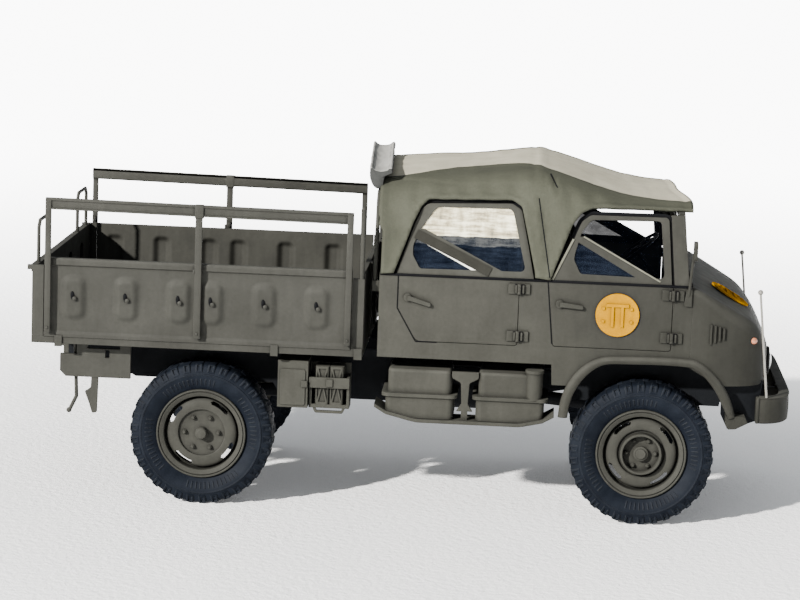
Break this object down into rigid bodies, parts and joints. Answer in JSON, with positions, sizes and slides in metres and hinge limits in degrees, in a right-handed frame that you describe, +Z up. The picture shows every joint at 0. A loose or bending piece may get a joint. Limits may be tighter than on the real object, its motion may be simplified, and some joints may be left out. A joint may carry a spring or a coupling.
{
  "type": "scale model military cargo truck",
  "caption": "Small-scale model of an unarmed military cargo truck with a double cab, canvas hood, open bed with side rails, and rolling wheels.",
  "frame": {"origin": "on the surface that it stands on, under the middle of its overall length and width", "axes": "+X forward, +Y to the truck's left, +Z up"},
  "size_m": [0.1435, 0.0614, 0.0661],
  "materials": {
    "body_paint": "matt painted",
    "bed_paint": "matt painted",
    "chassis_paint": "matt painted",
    "cab_inside": "matt painted",
    "rubber": "moulded tyre",
    "wheel_paint": "matt painted",
    "clear_panes": "clear sheet",
    "canvas": "matt, woven look",
    "disc_paint": "satin painted",
    "lamp": "clear lens",
    "wand": "painted"
  },
  "bodies": {
    "truck": {"cab_side_right": "body_paint", "cab_side_left": "body_paint", "door_rear_right": "body_paint", "door_rear_left": "body_paint", "door_front_right": "body_paint", "door_front_left": "body_paint", "nose_shell": "body_paint", "arch_lips": "body_paint", "cab_rear_wall": "body_paint", "bulkhead": "body_paint", "windscreen_frame": "body_paint", "front_bumper": "body_paint", "side_tanks": "body_paint", "tool_chests": "body_paint", "can_racks": "body_paint", "bed_floor": "bed_paint", "bed_bearers": "bed_paint", "bed_side_right": "bed_paint", "bed_side_left": "bed_paint", "tailgate": "bed_paint", "head_wall": "bed_paint", "bed_corner_posts": "bed_paint", "side_rails": "bed_paint", "rear_skirt_plates": "bed_paint", "rear_hangers": "bed_paint", "tow_coupling": "bed_paint", "rear_axle": "chassis_paint", "front_knuckles": "chassis_paint", "front_axle": "chassis_paint", "coil_springs": "chassis_paint", "chassis_rails": "chassis_paint", "chassis_crossmembers": "chassis_paint", "torque_tubes": "chassis_paint", "gearbox": "chassis_paint", "engine_block": "chassis_paint", "cab_floor": "cab_inside", "dashboard": "cab_inside", "seats": "cab_inside", "steering_wheel": "cab_inside", "window_glass": "clear_panes", "canvas_hood": "canvas", "rolled_curtain": "canvas", "door_discs": "disc_paint", "head_lamps": "lamp", "width_wands": "wand"},
    "wheel_rear_right": {"tyre_rear_right": "rubber", "wheel_disc_rear_right": "wheel_paint"},
    "wheel_rear_left": {"tyre_rear_left": "rubber", "wheel_disc_rear_left": "wheel_paint"},
    "wheel_front_right": {"tyre_front_right": "rubber", "wheel_disc_front_right": "wheel_paint"},
    "wheel_front_left": {"tyre_front_left": "rubber", "wheel_disc_front_left": "wheel_paint"}
  },
  "joints": [
    {"name": "spin_rear_right", "type": "hinge", "parent": "truck", "child": "wheel_rear_right", "pos_m": [-0.0388, -0.0233, 0.0135], "axis": [0, 1, 0], "continuous": true},
    {"name": "spin_rear_left", "type": "hinge", "parent": "truck", "child": "wheel_rear_left", "pos_m": [-0.0388, 0.0233, 0.0135], "axis": [0, 1, 0], "continuous": true},
    {"name": "spin_front_right", "type": "hinge", "parent": "truck", "child": "wheel_front_right", "pos_m": [0.0441, -0.0233, 0.0135], "axis": [0, 1, 0], "continuous": true},
    {"name": "spin_front_left", "type": "hinge", "parent": "truck", "child": "wheel_front_left", "pos_m": [0.0441, 0.0233, 0.0135], "axis": [0, 1, 0], "continuous": true}
  ]
}
